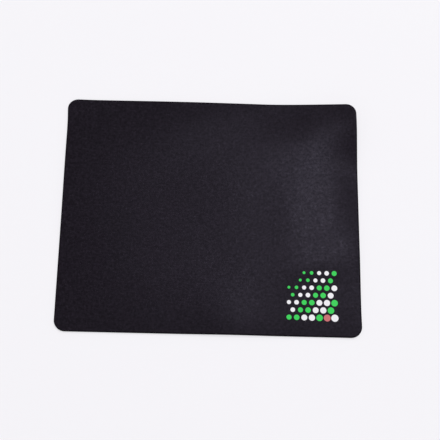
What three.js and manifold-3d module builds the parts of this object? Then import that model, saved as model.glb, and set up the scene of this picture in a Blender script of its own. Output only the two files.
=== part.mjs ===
// A thin desk pad for a mouse: a cloth face, bonded by a film to a sponge rubber base with a ribbed underside.
// Lengths are in millimetres and angles in radians. +X runs along the long side, +Y away from the user, +Z up.
// The origin lies on the table, under the middle of the pad.

import * as THREE from "three";
import { mergeVertices } from "three/addons/utils/BufferGeometryUtils.js";
import Module from "manifold-3d";

// Outline that the die cuts
const padWidth = 220;
const padDepth = 180;
const cornerRadius = 8;

// Layers, from the table up
const baseThickness = 1.5;
const filmThickness = 0.1;
const clothThickness = 0.4;

// Cut edge: the cloth rolls over at the top, the film ends a little short and the sponge is pinched at mid height
const clothRoll = 0.22;
const filmSetBack = 0.08;
const spongeWaist = 0.14;
const spongeFootRound = 0.12;

// Grip on the underside: wavy grooves that leave wavy ribs between them
const groovePitch = 6;
const grooveWidth = 1.6;
const grooveDepth = 0.5;
const waveLength = 32;
const waveHeight = 1.5;
const edgeLand = 2;
const cutOverrun = 1;

// Fineness of the curves, in counts
const stepsPerCorner = 8;
const stepsPerWave = 6;
const stepsPerRoll = 3;

// Finishes
const clothFinish = { color: 0x26242a, roughness: 0.92, metalness: 0 };
const filmFinish = { color: 0x4a4a4e, roughness: 0.5, metalness: 0 };
const rubberFinish = { color: 0x1a1a1c, roughness: 0.85, metalness: 0 };

const manifold = await Module();
manifold.setup();

// The pad's outline, drawn in by inset all round, as points that run anticlockwise
function padOutline(inset) {
  const radius = cornerRadius - inset;
  const centreX = padWidth / 2 - cornerRadius;
  const centreY = padDepth / 2 - cornerRadius;
  const corners = [
    [centreX, centreY],
    [-centreX, centreY],
    [-centreX, -centreY],
    [centreX, -centreY],
  ];
  const quarterTurn = Math.PI / 2;
  const points = [];
  corners.forEach(([x, y], corner) => {
    for (let step = 0; step <= stepsPerCorner; step += 1) {
      const angle = quarterTurn * (corner + step / stepsPerCorner);
      points.push(new THREE.Vector2(x + radius * Math.cos(angle), y + radius * Math.sin(angle)));
    }
  });
  return points;
}

// A closed solid through outlines stacked from the bottom up, each level with its height and inset
function stackedSolid(levels) {
  const rings = levels.map((level) => padOutline(level.inset));
  const ringSize = rings[0].length;
  const positions = rings.flatMap((ring, level) => ring.flatMap((point) => [point.x, point.y, levels[level].height]));
  const triangles = [];
  for (let level = 0; level + 1 < rings.length; level += 1) {
    for (let index = 0; index < ringSize; index += 1) {
      const next = (index + 1) % ringSize;
      const low = level * ringSize;
      const high = low + ringSize;
      triangles.push(low + index, low + next, high + next);
      triangles.push(low + index, high + next, high + index);
    }
  }
  const top = (rings.length - 1) * ringSize;
  for (const [a, b, c] of THREE.ShapeUtils.triangulateShape(rings[0], [])) {
    triangles.push(a, c, b);
    triangles.push(top + a, top + b, top + c);
  }
  const geometry = new THREE.BufferGeometry();
  geometry.setAttribute("position", new THREE.Float32BufferAttribute(positions, 3));
  geometry.setIndex(triangles);
  return geometry;
}

function toSolid(geometry) {
  const bare = geometry.clone();
  bare.deleteAttribute("normal");
  bare.deleteAttribute("uv");
  const merged = mergeVertices(bare);
  const vertProperties = new Float32Array(merged.attributes.position.array);
  const triVerts = new Uint32Array(merged.index.array);
  return new manifold.Manifold(new manifold.Mesh({ numProp: 3, vertProperties, triVerts }));
}

function toGeometry(solid) {
  const mesh = solid.getMesh();
  const geometry = new THREE.BufferGeometry();
  geometry.setAttribute("position", new THREE.BufferAttribute(mesh.vertProperties, 3));
  geometry.setIndex(new THREE.BufferAttribute(mesh.triVerts, 1));
  return geometry;
}

// One groove's cutter: a V section drawn along the pad, then waved sideways
function grooveCutter(rowY) {
  const mouthHalf = (grooveWidth / 2) * ((grooveDepth + cutOverrun) / grooveDepth);
  const section = new THREE.Shape();
  section.moveTo(-mouthHalf, -cutOverrun);
  section.lineTo(mouthHalf, -cutOverrun);
  section.lineTo(0, grooveDepth);
  section.closePath();
  const length = padWidth + 2 * cutOverrun;
  const steps = Math.ceil((length / waveLength) * stepsPerWave);
  const geometry = new THREE.ExtrudeGeometry(section, { depth: length, steps, bevelEnabled: false });
  const place = geometry.attributes.position;
  for (let index = 0; index < place.count; index += 1) {
    const along = place.getZ(index) - length / 2;
    const sideways = waveHeight * Math.sin((2 * Math.PI * along) / waveLength);
    place.setXYZ(index, along, rowY + sideways + place.getX(index), place.getY(index));
  }
  return toSolid(geometry);
}

// Rows of grooves, an even number so that a rib and not a groove lies over the origin
function grooveRows() {
  const reach = padDepth / 2 - edgeLand - waveHeight - grooveWidth / 2;
  const rowsEachSide = Math.floor(reach / groovePitch + 1 / 2);
  const rows = [];
  for (let row = 0; row < rowsEachSide; row += 1) {
    const rowY = (row + 1 / 2) * groovePitch;
    rows.push(rowY, -rowY);
  }
  return rows;
}

function rubberBaseGeometry() {
  const slab = stackedSolid([
    { height: 0, inset: spongeFootRound },
    { height: spongeFootRound, inset: 0 },
    { height: baseThickness / 2, inset: spongeWaist },
    { height: baseThickness, inset: 0 },
  ]);
  let solid = toSolid(slab);
  for (const rowY of grooveRows()) {
    solid = solid.subtract(grooveCutter(rowY));
  }
  return toGeometry(solid);
}

function bondingFilmGeometry() {
  return stackedSolid([
    { height: 0, inset: filmSetBack },
    { height: filmThickness, inset: filmSetBack },
  ]);
}

// The cloth's upper edge turns over in a quarter round that the die leaves
function clothFaceGeometry() {
  const levels = [{ height: 0, inset: 0 }];
  for (let step = 0; step <= stepsPerRoll; step += 1) {
    const angle = (Math.PI / 2) * (step / stepsPerRoll);
    levels.push({
      height: clothThickness - clothRoll + clothRoll * Math.sin(angle),
      inset: clothRoll * (1 - Math.cos(angle)),
    });
  }
  return stackedSolid(levels);
}

function layer(name, geometry, finish, seatHeight) {
  geometry.computeVertexNormals();
  const mesh = new THREE.Mesh(geometry, new THREE.MeshStandardMaterial(finish));
  mesh.name = name;
  mesh.position.z = seatHeight;
  return mesh;
}

const pad = new THREE.Group();
pad.name = "mouse_pad";
pad.add(layer("rubber_base", rubberBaseGeometry(), rubberFinish, 0));
pad.add(layer("bonding_film", bondingFilmGeometry(), filmFinish, baseThickness));
pad.add(layer("cloth_face", clothFaceGeometry(), clothFinish, baseThickness + filmThickness));

export default pad;
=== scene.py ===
# A cloth mouse pad, dressed round its three packed layers. Lengths are in metres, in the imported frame.
import math

import bpy
from mathutils import Matrix, Vector, noise


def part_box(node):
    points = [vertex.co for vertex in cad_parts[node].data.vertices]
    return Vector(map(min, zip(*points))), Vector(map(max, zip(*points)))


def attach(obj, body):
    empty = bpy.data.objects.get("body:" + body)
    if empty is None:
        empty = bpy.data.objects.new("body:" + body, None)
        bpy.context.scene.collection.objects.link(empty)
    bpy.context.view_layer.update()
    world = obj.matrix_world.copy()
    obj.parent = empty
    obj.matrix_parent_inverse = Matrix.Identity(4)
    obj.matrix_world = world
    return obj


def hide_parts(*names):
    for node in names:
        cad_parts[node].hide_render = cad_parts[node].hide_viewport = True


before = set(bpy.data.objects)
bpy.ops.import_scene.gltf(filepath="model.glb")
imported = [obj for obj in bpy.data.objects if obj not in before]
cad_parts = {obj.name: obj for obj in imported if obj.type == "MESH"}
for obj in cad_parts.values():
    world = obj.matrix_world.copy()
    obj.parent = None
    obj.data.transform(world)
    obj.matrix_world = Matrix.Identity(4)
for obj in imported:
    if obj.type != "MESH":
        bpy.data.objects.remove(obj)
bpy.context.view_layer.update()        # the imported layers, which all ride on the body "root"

mm = 0.001
clothLow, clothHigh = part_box("cloth_face")
filmLow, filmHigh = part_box("bonding_film")
baseLow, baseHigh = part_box("rubber_base")
padHalfX = (clothHigh.x - clothLow.x) / 2
padHalfY = (clothHigh.y - clothLow.y) / 2
cornerRadius = 8 * mm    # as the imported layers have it
cornerSteps = 8          # grid steps across the band that the rounded corners take up
print("frame loaded:", sorted(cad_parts))


def addObject(name, data):
    item = bpy.data.objects.new(name, data)
    bpy.context.scene.collection.objects.link(item)
    return item


# Camera: looks down at the pad from the user's side, a little from the left and turned a little
# clockwise
shot = {
    "aim": (7.1 * mm, -3.5 * mm, 0),
    "elevation": math.radians(71.6),
    "azimuth": math.radians(-4.2),      # 0 looks along +Y
    "roll": math.radians(5.45),
    "distance": 730.2 * mm,
    "lens": 80.6,                       # millimetres on a 36 mm sensor
    "clipStart": 10 * mm,
}


def makeCamera():
    data = bpy.data.cameras.new("camera")
    data.lens = shot["lens"]
    data.clip_start = shot["clipStart"]
    camera = addObject("camera", data)
    elevation, azimuth = shot["elevation"], shot["azimuth"]
    level = math.cos(elevation)
    back = Vector((math.sin(azimuth) * level, -math.cos(azimuth) * level, math.sin(elevation)))
    camera.location = Vector(shot["aim"]) + back * shot["distance"]
    turn = (-back).to_track_quat("-Z", "Y").to_matrix() @ Matrix.Rotation(shot["roll"], 3, "Z")
    camera.rotation_euler = turn.to_euler()
    bpy.context.scene.camera = camera
    print("camera set")


# How the pad lies on the table: crowned in the middle, soft with swells and hollows, and curled up
# at one corner. A swell's turn is the way its length runs, from +X towards +Y, and a hollow has a
# height below zero.
lie = {
    "crown": 1.6 * mm,
    "crownPower": 3,                    # higher keeps the crown flatter and its rim narrower
    "swells": {                         # x, y, turn in degrees, length, width, height
        "middleHollow": (-28 * mm, -3 * mm, 120, 125 * mm, 62 * mm, -1.6 * mm),
        "rightRidge": (65 * mm, 3 * mm, 90, 37 * mm, 17.5 * mm, 0.8 * mm),
        "rightBend": (87 * mm, -1 * mm, 75, 27 * mm, 11 * mm, 0.35 * mm),
        "rimRidge": (105 * mm, -31 * mm, 105, 140 * mm, 16.5 * mm, 0.65 * mm),
        "cornerRidge": (136 * mm, 81 * mm, 17, 80 * mm, 24 * mm, 3.4 * mm),
        "farSwell": (-36 * mm, 71 * mm, 25, 130 * mm, 35 * mm, 1.75 * mm),
        "nearSwell": (15 * mm, -85 * mm, 115, 30 * mm, 24 * mm, 1 * mm),
        "nearRightSwell": (85 * mm, -35 * mm, 105, 14 * mm, 37 * mm, 0.55 * mm),
    },
    "foldAngle": math.radians(50),      # the way from the middle to the lifted corner
    "foldStart": 90 * mm,               # where the corner leaves the table, that way from the middle
    "foldLength": 44 * mm,
    "cornerLift": 5.3 * mm,
    "foldPower": 1.7,
    "tugs": {                           # soft corners drawn aside: x, y, shift in x and in y, reach
        "farLeft": (-106 * mm, 86 * mm, -0.8 * mm, 0.3 * mm, 11 * mm),
        "farRight": (106 * mm, 86 * mm, -0.25 * mm, -0.2 * mm, 10 * mm),
        "nearRight": (106 * mm, -86 * mm, 0.4 * mm, -0.1 * mm, 11 * mm),
    },
    "undulation": 0.08 * mm,            # small unevenness all over
    "undulationSize": 22 * mm,
    "undulationSlice": 0.3,             # another slice of the noise gives other bumps of the same size
    "slopeStep": 0.5 * mm,              # distance to each side over which a slope is taken
}


def foldShare(x, y):
    along = x * math.cos(lie["foldAngle"]) + y * math.sin(lie["foldAngle"]) - lie["foldStart"]
    return max(0, along / lie["foldLength"])


def swellAt(swell, x, y):
    middleX, middleY, turn, length, width, height = swell
    cosine, sine = math.cos(math.radians(turn)), math.sin(math.radians(turn))
    along = ((x - middleX) * cosine + (y - middleY) * sine) / length
    across = ((y - middleY) * cosine - (x - middleX) * sine) / width
    return height * math.exp(-along**2 - across**2)


# Height of the pad's underside over the table at a place on the flat pad
def liftAt(x, y):
    power = lie["crownPower"]
    shareX, shareY = min(1, abs(x / padHalfX)), min(1, abs(y / padHalfY))
    rim = (1 - shareX**power) * (1 - shareY**power)
    size = lie["undulationSize"]
    uneven = 0.5 + 0.5 * noise.noise(Vector((x / size, y / size, lie["undulationSlice"])))
    height = lie["crown"] * rim + lie["undulation"] * uneven
    for swell in lie["swells"].values():
        rise = swellAt(swell, x, y)
        height += rise if rise > 0 else rise * rim      # a hollow never reaches below the table
    return height + lie["cornerLift"] * foldShare(x, y) ** lie["foldPower"]


# How far the tugs draw a place of the pad aside
def tugAt(x, y):
    shift = Vector((0, 0, 0))
    for middleX, middleY, shiftX, shiftY, reach in lie["tugs"].values():
        share = math.exp(-((x - middleX)**2 + (y - middleY)**2) / reach**2)
        shift += Vector((shiftX, shiftY, 0)) * share
    return shift


# Where a point of the flat pad ends up: lifted, tilted with the surface, drawn back by what the slope
# of the curling corner takes up, and tugged aside
def layDown(x, y, z):
    step = lie["slopeStep"]
    slopeX = (liftAt(x + step, y) - liftAt(x - step, y)) / (2 * step)
    slopeY = (liftAt(x, y + step) - liftAt(x, y - step)) / (2 * step)
    normal = Vector((-slopeX, -slopeY, 1)).normalized()
    power, length = lie["foldPower"], lie["foldLength"]
    steepest = lie["cornerLift"] * power / length
    drawn = 0.5 * steepest**2 * length * foldShare(x, y) ** (2 * power - 1) / (2 * power - 1)
    pull = Vector((math.cos(lie["foldAngle"]), math.sin(lie["foldAngle"]), 0)) * drawn
    return Vector((x, y, liftAt(x, y))) + normal * z - pull + tugAt(x, y)


# Stops along one side of a grid that follows the rounded outline: the place in the straight part,
# and the share of the corner band beyond it
def gridStops(half, coreStops):
    core = half - cornerRadius
    before = [(-core, -step / cornerSteps) for step in range(cornerSteps, 0, -1)]
    after = [(core, step / cornerSteps) for step in range(1, cornerSteps + 1)]
    return before + [(stop, 0) for stop in coreStops] + after


def evenStops(half, step):
    core = half - cornerRadius
    count = round(2 * core / step)
    return [-core + 2 * core * index / count for index in range(count + 1)]


# A grid crossing on the flat pad, with the corner bands bent round the corner and the outline drawn in
def gridPoint(stopX, stopY, inset):
    (coreX, bandX), (coreY, bandY) = stopX, stopY
    reach = math.hypot(bandX, bandY)
    bend = max(abs(bandX), abs(bandY)) / reach if reach else 0
    radius = cornerRadius - inset
    return coreX + bandX * bend * radius, coreY + bandY * bend * radius


# Indices of a grid's outermost points, once round
def rimLoop(columns, rows):
    loop = list(range(columns - 1))
    loop += [row * columns + columns - 1 for row in range(rows - 1)]
    loop += [(rows - 1) * columns + column for column in range(columns - 1, 0, -1)]
    loop += [row * columns for row in range(rows - 1, 0, -1)]
    return loop


# Faces between two closed loops of points
def bandFaces(lower, upper):
    return list(zip(lower, lower[1:] + lower[:1], upper[1:] + upper[:1], upper))


# A closed layer: a grid on top, one underneath and a side wall. The wall's profile is given from the
# underside up, as (share of the height, inset). under, if given, puts the underside's points in
# other places and at other heights.
def layerMesh(name, stopsX, stopsY, low, high, profile, under=None):
    columns, rows = len(stopsX), len(stopsY)
    size = columns * rows
    bottomInset, topInset = profile[0][1], profile[-1][1]
    flat = []
    for stopY in stopsY:
        for stopX in stopsX:
            x, y = gridPoint(stopX, stopY, bottomInset)
            flat.append(under(stopX, stopY, x, y) if under else (x, y, low))
    for stopY in stopsY:
        for stopX in stopsX:
            x, y = gridPoint(stopX, stopY, topInset)
            flat.append((x, y, high))

    faces = []
    for row in range(rows - 1):
        for column in range(columns - 1):
            first = row * columns + column
            corners = (first, first + 1, first + columns + 1, first + columns)
            faces.append((corners[0], corners[3], corners[2], corners[1]))
            faces.append([size + corner for corner in corners])

    rim = rimLoop(columns, rows)
    lower = rim
    for share, inset in profile[1:-1]:
        ring = []
        for index in rim:
            x, y = gridPoint(stopsX[index % columns], stopsY[index // columns], inset)
            bottomY, bottomZ = flat[index][1:]
            if abs(y) < padHalfY - cornerRadius:
                y = bottomY                 # between the corners the wall keeps the underside's rows
            ring.append(len(flat))
            flat.append((x, y, bottomZ + (high - bottomZ) * share))
        faces += bandFaces(lower, ring)
        lower = ring
    faces += bandFaces(lower, [size + index for index in rim])

    mesh = bpy.data.meshes.new(name)
    mesh.from_pydata([layDown(*point) for point in flat], [], faces)
    place = mesh.attributes.new("flatPlace", "FLOAT_VECTOR", "POINT")
    place.data.foreach_set("vector", [value for point in flat for value in point])
    mesh.shade_smooth()
    mesh.update()
    return addObject(name, mesh)


# Helpers for shader nodes: a value is a number, a vector or another node's output
def feed(tree, socket, value):
    if isinstance(value, bpy.types.NodeSocket):
        tree.links.new(value, socket)
    else:
        socket.default_value = value


def calc(tree, operation, *values, clamp=False):
    node = tree.nodes.new("ShaderNodeMath")
    node.operation = operation
    node.use_clamp = clamp
    for socket, value in zip(node.inputs, values):
        feed(tree, socket, value)
    return node.outputs[0]


def blendColor(tree, share, first, second):
    node = tree.nodes.new("ShaderNodeMix")
    node.data_type = "RGBA"
    feed(tree, node.inputs["Factor"], share)
    feed(tree, node.inputs["A"], first)
    feed(tree, node.inputs["B"], second)
    return node.outputs["Result"]


def remap(tree, value, fromLow, fromHigh, toLow, toHigh):
    node = tree.nodes.new("ShaderNodeMapRange")
    labels = ("Value", "From Min", "From Max", "To Min", "To Max")
    for label, given in zip(labels, (value, fromLow, fromHigh, toLow, toHigh)):
        feed(tree, node.inputs[label], given)
    return node.outputs["Result"]


noiseRange = (0.3, 0.7)     # most of a noise lies between these


def noiseTexture(tree, vector, size, detail):
    node = tree.nodes.new("ShaderNodeTexNoise")
    feed(tree, node.inputs["Vector"], vector)
    feed(tree, node.inputs["Scale"], calc(tree, "DIVIDE", 1.0, size))
    node.inputs["Detail"].default_value = detail
    return node.outputs["Fac"]


def stretch(tree, vector, shares, shift):
    node = tree.nodes.new("ShaderNodeVectorMath")
    node.operation = "MULTIPLY_ADD"
    for socket, value in zip(node.inputs, (vector, shares, shift)):
        feed(tree, socket, value)
    return node.outputs[0]


def splitPlace(tree, place):
    node = tree.nodes.new("ShaderNodeSeparateXYZ")
    feed(tree, node.inputs[0], place)
    return node.outputs["X"], node.outputs["Y"]


# The place on the flat pad that a point came from, which every layer's mesh carries
def flatPlace(tree):
    node = tree.nodes.new("ShaderNodeAttribute")
    node.attribute_name = "flatPlace"
    return node.outputs["Vector"]


# A group takes the place on the pad and some numbers, and puts out numbers. Each material that uses
# it gives the values.
def newGroup(name, numbers, outputs):
    tree = bpy.data.node_groups.new(name, "ShaderNodeTree")
    tree.interface.new_socket("Place", in_out="INPUT", socket_type="NodeSocketVector")
    for label in numbers:
        tree.interface.new_socket(label, in_out="INPUT", socket_type="NodeSocketFloat")
    for label in outputs:
        tree.interface.new_socket(label, in_out="OUTPUT", socket_type="NodeSocketFloat")
    given = tree.nodes.new("NodeGroupInput").outputs
    made = tree.nodes.new("NodeGroupOutput").inputs
    return tree, given, made


def useGroup(tree, group, values):
    node = tree.nodes.new("ShaderNodeGroup")
    node.node_tree = group
    for label, value in values.items():
        feed(tree, node.inputs[label], value)
    return node.outputs


def newMaterial(name):
    material = bpy.data.materials.new(name)
    material.use_nodes = True
    return material, material.node_tree, material.node_tree.nodes["Principled BSDF"]


def addBump(tree, shader, height):
    bump = tree.nodes.new("ShaderNodeBump")
    bump.inputs["Strength"].default_value = 1.0
    bump.inputs["Distance"].default_value = 1.0
    feed(tree, bump.inputs["Height"], height)
    tree.links.new(bump.outputs["Normal"], shader.inputs["Normal"])


# A band along the pad's cut edge: 1 on the edge, 0 from the band's width inwards
def makeEdgeGroup():
    tree, given, made = newGroup("cutEdge", ["Band"], ["Edge"])
    beyond = []
    for place, half in zip(splitPlace(tree, given["Place"]), (padHalfX, padHalfY)):
        beyond.append(calc(tree, "SUBTRACT", calc(tree, "ABSOLUTE", place), half - cornerRadius))
    clear = [calc(tree, "MAXIMUM", value, 0.0) for value in beyond]
    squares = [calc(tree, "MULTIPLY", value, value) for value in clear]
    outer = calc(tree, "SQRT", calc(tree, "ADD", *squares))
    inner = calc(tree, "MINIMUM", calc(tree, "MAXIMUM", *beyond), 0.0)
    depth = calc(tree, "SUBTRACT", cornerRadius, calc(tree, "ADD", outer, inner))
    share = calc(tree, "DIVIDE", depth, given["Band"], clamp=True)
    feed(tree, made["Edge"], calc(tree, "SUBTRACT", 1.0, share, clamp=True))
    return tree


# Knitted cloth: columns of small leaning loops, and yarn that is thicker and lighter in short runs
# both ways
knit = {
    "lean": 0.9,                        # how far a loop climbs at the sides of its column, in stitches
    "runs": {                           # stretch of the noise, and its shift, so that the two differ
        "along": ((0.6, 1.2, 1), (0.31, 0.17, 0)),
        "across": ((1.2, 0.7, 1), (-0.23, 0.41, 0)),
    },
    "mottleDetail": 1,
    "mottleLow": 0.36,
    "mottleHigh": 0.8,
    "mottlePower": 1.5,                 # higher leaves fewer light runs
}


def makeKnitGroup():
    numbers = ["Stitch", "Mottle", "Loop Depth", "Mottle Depth"]
    tree, given, made = newGroup("knit", numbers, ["Height", "Loops", "Unevenness"])
    placeX, placeY = splitPlace(tree, given["Place"])
    across = calc(tree, "DIVIDE", placeX, given["Stitch"])
    along = calc(tree, "DIVIDE", placeY, given["Stitch"])
    column = calc(tree, "FRACT", across)
    fromMiddle = calc(tree, "ABSOLUTE", calc(tree, "SUBTRACT", column, 0.5))
    leaning = calc(tree, "MULTIPLY_ADD", fromMiddle, knit["lean"], along)
    wave = calc(tree, "SINE", calc(tree, "MULTIPLY", leaning, 2 * math.pi))
    loop = calc(tree, "MULTIPLY_ADD", wave, 0.5, 0.5)
    fullness = calc(tree, "SINE", calc(tree, "MULTIPLY", column, math.pi))
    loops = calc(tree, "MULTIPLY", loop, fullness)
    runs = []
    for shares, shift in knit["runs"].values():
        place = stretch(tree, given["Place"], shares, shift)
        runs.append(noiseTexture(tree, place, given["Mottle"], knit["mottleDetail"]))
    mottle = calc(tree, "MAXIMUM", *runs)
    uneven = remap(tree, mottle, knit["mottleLow"], knit["mottleHigh"], 0.0, 1.0)
    feed(tree, made["Loops"], loops)
    feed(tree, made["Unevenness"], calc(tree, "POWER", uneven, knit["mottlePower"]))
    height = calc(tree, "MULTIPLY", loops, given["Loop Depth"])
    feed(tree, made["Height"], calc(tree, "MULTIPLY_ADD", mottle, given["Mottle Depth"], height))
    return tree


# Printed dots on a staggered lattice, which grow from the far left of their field to its near right
dots = {
    "left": 55 * mm,
    "near": -79 * mm,
    "pitch": 5.5 * mm,
    "count": 7,                         # dots in a row, and rows
    "bare": 0.1,                        # share of the field's diagonal before the first dots
    "smallest": 0.6 * mm,               # radius of the first dots
    "largest": 2.6 * mm,
    "growthPower": 0.6,                 # lower lets the dots grow sooner
    "blur": 0.15 * mm,
    "inkDepth": 0.01 * mm,
    "roundOfRows": 4,                   # diagonal rows of dots before the colours come round again
    "paleRows": 2,                      # of these the first, and the others are green
    "warmRow": 11,                      # a diagonal row that has a single dot
    "green": (0.055, 0.72, 0.115, 1),
    "pale": (0.96, 0.96, 0.975, 1),
    "warm": (0.66, 0.19, 0.19, 1),
}


# Ink is 1 on a dot, and Pale and Warm are 1 all over the cells of the pale and the warm dots
def makeDotGroup():
    numbers = ["Left", "Near", "Pitch", "Count", "Smallest", "Largest", "Blur"]
    tree, given, made = newGroup("dotPrint", numbers, ["Ink", "Pale", "Warm"])
    placeX, placeY = splitPlace(tree, given["Place"])
    last = calc(tree, "SUBTRACT", given["Count"], 1.0)

    up = calc(tree, "DIVIDE", calc(tree, "SUBTRACT", placeY, given["Near"]), given["Pitch"])
    row = calc(tree, "FLOOR", up)
    odd = calc(tree, "FLOORED_MODULO", row, 2.0)
    across = calc(tree, "DIVIDE", calc(tree, "SUBTRACT", placeX, given["Left"]), given["Pitch"])
    across = calc(tree, "MULTIPLY_ADD", odd, -0.5, across)      # odd rows sit half a dot to the right
    column = calc(tree, "FLOOR", across)
    diagonal = calc(tree, "ADD", column, calc(tree, "SUBTRACT", last, row))
    share = calc(tree, "DIVIDE", diagonal, calc(tree, "MULTIPLY", last, 2.0))
    growth = remap(tree, share, dots["bare"], 1.0, 0.0, 1.0)

    asideX = calc(tree, "SUBTRACT", calc(tree, "FRACT", across), 0.5)
    asideY = calc(tree, "SUBTRACT", calc(tree, "FRACT", up), 0.5)
    squares = calc(tree, "MULTIPLY_ADD", asideX, asideX, calc(tree, "MULTIPLY", asideY, asideY))
    away = calc(tree, "MULTIPLY", calc(tree, "SQRT", squares), given["Pitch"])
    reach = calc(tree, "SUBTRACT", given["Largest"], given["Smallest"])
    grown = calc(tree, "POWER", growth, dots["growthPower"])
    radius = calc(tree, "MULTIPLY_ADD", reach, grown, given["Smallest"])
    inked = calc(tree, "DIVIDE", calc(tree, "SUBTRACT", radius, away), given["Blur"])
    inked = calc(tree, "ADD", inked, 0.5, clamp=True)

    inside = calc(tree, "GREATER_THAN", growth, 0.0)
    for index, top in ((row, last), (column, calc(tree, "SUBTRACT", last, odd))):
        above = calc(tree, "GREATER_THAN", index, -0.5)
        below = calc(tree, "LESS_THAN", index, calc(tree, "ADD", top, 0.5))
        inside = calc(tree, "MULTIPLY", inside, calc(tree, "MULTIPLY", above, below))
    feed(tree, made["Ink"], calc(tree, "MULTIPLY", inked, inside))
    turn = calc(tree, "FLOORED_MODULO", diagonal, dots["roundOfRows"])
    feed(tree, made["Pale"], calc(tree, "LESS_THAN", turn, dots["paleRows"] - 0.5))
    feed(tree, made["Warm"], calc(tree, "COMPARE", diagonal, dots["warmRow"], 0.5))
    return tree


# Cloth face
cloth = {
    "gridStep": 1.6 * mm,
    "roll": 0.22 * mm,                      # radius of the upper edge, rolled over by the die
    "rollSteps": 3,
    "dark": (0.0083, 0.0067, 0.0094, 1),
    "light": (0.0241, 0.0198, 0.0281, 1),
    "edge": (0.0022, 0.0019, 0.0026, 1),    # darker in a band along the cut edge
    "edgeBand": 0.9 * mm,
    "roughness": 0.265,
    "roughnessSpread": 0.055,
    "specular": 0.0313,
    "specularTint": (0.80, 0.755, 1.0, 1),
    "stitch": 0.5 * mm,
    "mottle": 1.7 * mm,                     # size of the runs of thicker and lighter yarn
    "loopDepth": 0.0095 * mm,
    "mottleDepth": 0.006 * mm,
    "paintedGapShade": 0.6,                        # painted shade between the loops: the tone there, as a share of the tone on them
    "gapInk": 0.9,                          # cover of the ink between the loops
}


def makeClothMaterial():
    material, tree, shader = newMaterial("clothFace")
    place = flatPlace(tree)
    weave = useGroup(tree, knitGroup, {
        "Place": place,
        "Stitch": cloth["stitch"],
        "Mottle": cloth["mottle"],
        "Loop Depth": cloth["loopDepth"],
        "Mottle Depth": cloth["mottleDepth"],
    })
    loops, uneven = weave["Loops"], weave["Unevenness"]
    rim = useGroup(tree, edgeGroup, {"Place": place, "Band": cloth["edgeBand"]})
    dot = useGroup(tree, dotGroup, {
        "Place": place,
        "Left": dots["left"],
        "Near": dots["near"],
        "Pitch": dots["pitch"],
        "Count": dots["count"],
        "Smallest": dots["smallest"],
        "Largest": dots["largest"],
        "Blur": dots["blur"],
    })

    # the yarn's runs give the cloth's own tone, and the gaps between the loops get painted shade
    yarnToneAndGapShade = calc(tree, "MULTIPLY", uneven, remap(tree, loops, 0.0, 1.0, cloth["paintedGapShade"], 1.0))
    color = blendColor(tree, yarnToneAndGapShade, cloth["dark"], cloth["light"])
    ink = blendColor(tree, dot["Pale"], dots["green"], dots["pale"])
    ink = blendColor(tree, dot["Warm"], ink, dots["warm"])
    cover = calc(tree, "MULTIPLY", dot["Ink"], remap(tree, loops, 0.0, 1.0, cloth["gapInk"], 1.0))
    color = blendColor(tree, cover, color, ink)
    color = blendColor(tree, rim["Edge"], color, cloth["edge"])
    tree.links.new(color, shader.inputs["Base Color"])

    middle, spread = cloth["roughness"], cloth["roughnessSpread"]
    roughness = remap(tree, uneven, 0.0, 1.0, middle + spread, middle - spread)
    tree.links.new(roughness, shader.inputs["Roughness"])
    shader.inputs["Specular IOR Level"].default_value = cloth["specular"]
    shader.inputs["Specular Tint"].default_value = cloth["specularTint"]
    addBump(tree, shader, calc(tree, "MULTIPLY_ADD", dot["Ink"], dots["inkDepth"], weave["Height"]))
    return material


def makeClothFace():
    rollShare = cloth["roll"] / (clothHigh.z - clothLow.z)
    profile = [(0, 0)]
    for step in range(cloth["rollSteps"] + 1):
        angle = math.pi / 2 * step / cloth["rollSteps"]
        share = 1 - rollShare + rollShare * math.sin(angle)
        profile.append((share, cloth["roll"] * (1 - math.cos(angle))))
    stopsX = gridStops(padHalfX, evenStops(padHalfX, cloth["gridStep"]))
    stopsY = gridStops(padHalfY, evenStops(padHalfY, cloth["gridStep"]))
    piece = layerMesh("clothFace", stopsX, stopsY, clothLow.z, clothHigh.z, profile)
    piece.data.materials.append(makeClothMaterial())
    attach(piece, "root")
    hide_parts("cloth_face")
    print("cloth face:", len(piece.data.polygons), "faces")


# Bonding film, seen only in the cut edge
film = {
    "gridStep": 4 * mm,
    "setBack": 0.08 * mm,
    "thick": (0.05, 0.05, 0.052, 1),
    "thin": (0.02, 0.02, 0.021, 1),         # where the glue has soaked into the sponge
    "patch": 1.2 * mm,
    "patchDetail": 2,
    "roughness": (0.45, 0.65),
}


def makeBondingFilm():
    material, tree, shader = newMaterial("bondingFilm")
    soaked = noiseTexture(tree, flatPlace(tree), film["patch"], film["patchDetail"])
    tree.links.new(blendColor(tree, soaked, film["thick"], film["thin"]), shader.inputs["Base Color"])
    roughness = remap(tree, soaked, *noiseRange, *film["roughness"])
    tree.links.new(roughness, shader.inputs["Roughness"])
    stopsX = gridStops(padHalfX, evenStops(padHalfX, film["gridStep"]))
    stopsY = gridStops(padHalfY, evenStops(padHalfY, film["gridStep"]))
    profile = [(0, film["setBack"]), (1, film["setBack"])]
    piece = layerMesh("bondingFilm", stopsX, stopsY, filmLow.z, filmHigh.z, profile)
    piece.data.materials.append(material)
    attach(piece, "root")
    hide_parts("bonding_film")
    print("bonding film:", len(piece.data.polygons), "faces")


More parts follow.
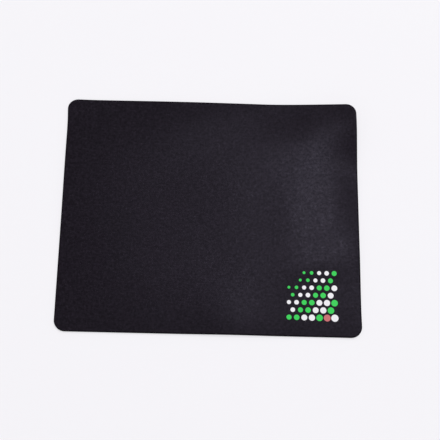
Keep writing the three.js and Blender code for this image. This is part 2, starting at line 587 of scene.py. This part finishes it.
# Sponge rubber base with the moulded grip underneath. The cut side shows deeper pores than the skin.
rubber = {
    "columnStep": 2 * mm,
    "groovePitch": 6 * mm,
    "grooveWidth": 1.6 * mm,
    "grooveDepth": 0.5 * mm,
    "grooves": 28,
    "grooveShares": (-0.5, -0.25, 0, 0.25, 0.5),    # the grid's rows in a groove, as shares of its width
    "ribShares": (0.25, 0.5, 0.75),         # and on the rib beside it
    "rowClear": 0.3 * mm,                   # no row lies closer than this to the corners' band
    "waveLength": 32 * mm,
    "waveHeight": 1.5 * mm,
    "edgeLand": 2 * mm,                     # straight strip along the long sides
    "waveFade": 4 * mm,                     # strip beside it over which the grid takes up the waves
    "footRound": 0.12 * mm,
    "footShare": 0.08,                      # of the thickness
    "waist": 0.14 * mm,
    "waistShares": ((0.3, 0.7), (0.5, 1), (0.75, 0.6)),     # share of the thickness, share of the waist
    # the darker colours below are painted shade at the pores' bottoms; on the skin the darker clouds are
    # the rubber's own tone
    "dark": (0.007, 0.007, 0.008, 1),
    "light": (0.016, 0.016, 0.017, 1),
    "cutPoreShade": (0.006, 0.006, 0.0065, 1),
    "cutLight": (0.026, 0.026, 0.028, 1),
    "cutBand": 1 * mm,
    "pore": 0.35 * mm,
    "poreRange": (0.1, 0.5),                # from a pore's bottom to its rim, as shares of its size
    "poreDepth": 0.045 * mm,
    "cutPoreDepth": 0.09 * mm,
    "cloud": 9 * mm,                        # size of the soft darker and smoother areas
    "cloudDetail": 3,
    "cloudShade": 0.5,
    "roughness": (0.62, 0.78),
    "specular": 0.4,
}


def waveAt(x):
    return rubber["waveHeight"] * math.sin(2 * math.pi * x / rubber["waveLength"])


def grooveDepthAt(x, y):
    pitch, half = rubber["groovePitch"], rubber["grooves"] // 2
    line = y - waveAt(x)
    groove = min(max(round(line / pitch - 0.5), -half), half - 1)
    aside = abs(line - (groove + 0.5) * pitch) / (rubber["grooveWidth"] / 2)
    return rubber["grooveDepth"] * (1 - aside) if aside < 1 else 0


# Rows of the underside's grid: over the width of each groove, and on the rib beside it
def grooveRows(reach):
    width, rib = rubber["grooveWidth"], rubber["groovePitch"] - rubber["grooveWidth"]
    offsets = [width * share for share in rubber["grooveShares"]]
    offsets += [width / 2 + rib * share for share in rubber["ribShares"]]
    middle = (rubber["grooves"] - 1) / 2
    places = [(groove - middle) * rubber["groovePitch"] for groove in range(rubber["grooves"])]
    rows = sorted(place + offset for place in places for offset in offsets)
    return [row for row in rows if abs(row) < reach - rubber["rowClear"]]


# The underside's grid slides sideways with the waves, so that its rows follow the grooves
def underPoint(stopX, stopY, x, y):
    follow = min(1, max(0, (padHalfY - rubber["edgeLand"] - abs(y)) / rubber["waveFade"]))
    if stopY[1]:
        follow *= 1 - abs(stopX[1])
    y += waveAt(x) * follow
    return x, y, baseLow.z + grooveDepthAt(x, y)


def makeRubberMaterial():
    material, tree, shader = newMaterial("spongeRubber")
    place = flatPlace(tree)
    rim = useGroup(tree, edgeGroup, {"Place": place, "Band": rubber["cutBand"]})
    cells = tree.nodes.new("ShaderNodeTexVoronoi")
    feed(tree, cells.inputs["Vector"], place)
    cells.inputs["Scale"].default_value = 1 / rubber["pore"]
    poreShadeAndDepth = remap(tree, cells.outputs["Distance"], *rubber["poreRange"], 0.0, 1.0)
    cloud = noiseTexture(tree, place, rubber["cloud"], rubber["cloudDetail"])

    # the colour darkens towards each pore's bottom as painted shade, and in the clouds as the rubber's
    # own tone
    poreShadeAndCloud = calc(tree, "MULTIPLY", poreShadeAndDepth, remap(tree, cloud, *noiseRange, rubber["cloudShade"], 1.0))
    skin = blendColor(tree, poreShadeAndCloud, rubber["dark"], rubber["light"])
    cut = blendColor(tree, poreShadeAndDepth, rubber["cutPoreShade"], rubber["cutLight"])
    tree.links.new(blendColor(tree, rim["Edge"], skin, cut), shader.inputs["Base Color"])
    roughness = remap(tree, cloud, *noiseRange, *rubber["roughness"])
    tree.links.new(roughness, shader.inputs["Roughness"])
    shader.inputs["Specular IOR Level"].default_value = rubber["specular"]
    depth = remap(tree, rim["Edge"], 0.0, 1.0, rubber["poreDepth"], rubber["cutPoreDepth"])
    addBump(tree, shader, calc(tree, "MULTIPLY", poreShadeAndDepth, depth))
    return material


def makeRubberBase():
    reach = padHalfY - cornerRadius
    stopsX = gridStops(padHalfX, evenStops(padHalfX, rubber["columnStep"]))
    stopsY = gridStops(padHalfY, [-reach] + grooveRows(reach) + [reach])
    profile = [(0, rubber["footRound"]), (rubber["footShare"], 0)]
    profile += [(share, waistShare * rubber["waist"]) for share, waistShare in rubber["waistShares"]]
    profile += [(1, 0)]
    piece = layerMesh("rubberBase", stopsX, stopsY, baseLow.z, baseHigh.z, profile, under=underPoint)
    piece.data.materials.append(makeRubberMaterial())
    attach(piece, "root")
    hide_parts("rubber_base")
    print("rubber base:", len(piece.data.polygons), "faces")


# Studio: a plain pale table that turns up into a low round wall, under a white tent, with one soft
# lamp high up behind on the right
studio = {
    "tableRadius": 3.0,
    "tableRings": (0.2, 0.5, 1),            # shares of the radius
    "coveRadius": 0.6,
    "coveSteps": 8,
    "wallTop": 1.0,
    "sides": 72,
    "table": (0.935, 0.925, 0.955, 1),
    "tableRoughness": 0.9,
    "tableSpecular": 0.1,
    "tableGlow": 0.72,                      # share of the table's tone that the camera sees unshaded
    "tent": (0.985, 0.965, 1.0, 1),
    "tentStrength": 0.56,
    "lampPlace": (0.33, 0.61, 1.8),
    "lampAim": (0.0, 0.0, 0.0),
    "lampSize": 0.3,
    "lampPower": 16.5,
}


def makeTableMaterial():
    material, tree, shader = newMaterial("paleTable")
    shader.inputs["Base Color"].default_value = studio["table"]
    shader.inputs["Roughness"].default_value = studio["tableRoughness"]
    shader.inputs["Specular IOR Level"].default_value = studio["tableSpecular"]
    glow = tree.nodes.new("ShaderNodeEmission")
    glow.inputs["Color"].default_value = studio["table"]
    path = tree.nodes.new("ShaderNodeLightPath")
    seen = calc(tree, "MAXIMUM", path.outputs["Is Camera Ray"], path.outputs["Is Glossy Ray"])
    seen = calc(tree, "MAXIMUM", seen, path.outputs["Is Transmission Ray"])
    mix = tree.nodes.new("ShaderNodeMixShader")
    feed(tree, mix.inputs["Fac"], calc(tree, "MULTIPLY", seen, studio["tableGlow"]))
    tree.links.new(shader.outputs["BSDF"], mix.inputs[1])
    tree.links.new(glow.outputs["Emission"], mix.inputs[2])
    tree.links.new(mix.outputs["Shader"], tree.nodes["Material Output"].inputs["Surface"])
    return material


def makeTable():
    flat, cove = studio["tableRadius"], studio["coveRadius"]
    profile = [(flat * share, 0) for share in studio["tableRings"]]
    for step in range(1, studio["coveSteps"] + 1):
        angle = math.pi / 2 * step / studio["coveSteps"]
        profile.append((flat + cove * math.sin(angle), cove * (1 - math.cos(angle))))
    profile.append((flat + cove, studio["wallTop"]))
    sides = studio["sides"]
    turns = [2 * math.pi * side / sides for side in range(sides)]
    points = [(0, 0, 0)]
    for radius, z in profile:
        points += [(radius * math.cos(turn), radius * math.sin(turn), z) for turn in turns]
    rings = [[1 + ring * sides + side for side in range(sides)] for ring in range(len(profile))]
    faces = [(0, rings[0][side], rings[0][(side + 1) % sides]) for side in range(sides)]
    for inner, outer in zip(rings, rings[1:]):
        faces += bandFaces(outer, inner)
    mesh = bpy.data.meshes.new("table")
    mesh.from_pydata(points, [], faces)
    mesh.shade_smooth()
    mesh.materials.append(makeTableMaterial())
    addObject("table", mesh)


def makeLight():
    world = bpy.data.worlds.new("tent")
    world.use_nodes = True
    back = world.node_tree.nodes["Background"]
    back.inputs["Color"].default_value = studio["tent"]
    back.inputs["Strength"].default_value = studio["tentStrength"]
    bpy.context.scene.world = world

    light = bpy.data.lights.new("softLamp", "AREA")
    light.shape = "SQUARE"
    light.size = studio["lampSize"]
    light.energy = studio["lampPower"]
    lamp = addObject("softLamp", light)
    lamp.location = studio["lampPlace"]
    toAim = Vector(studio["lampAim"]) - Vector(studio["lampPlace"])
    lamp.rotation_euler = toAim.to_track_quat("-Z", "Y").to_euler()
    bpy.context.scene.view_settings.view_transform = "Standard"


makeCamera()
makeTable()
makeLight()
print("studio set")
edgeGroup = makeEdgeGroup()
knitGroup = makeKnitGroup()
dotGroup = makeDotGroup()
makeClothFace()
makeBondingFilm()
makeRubberBase()
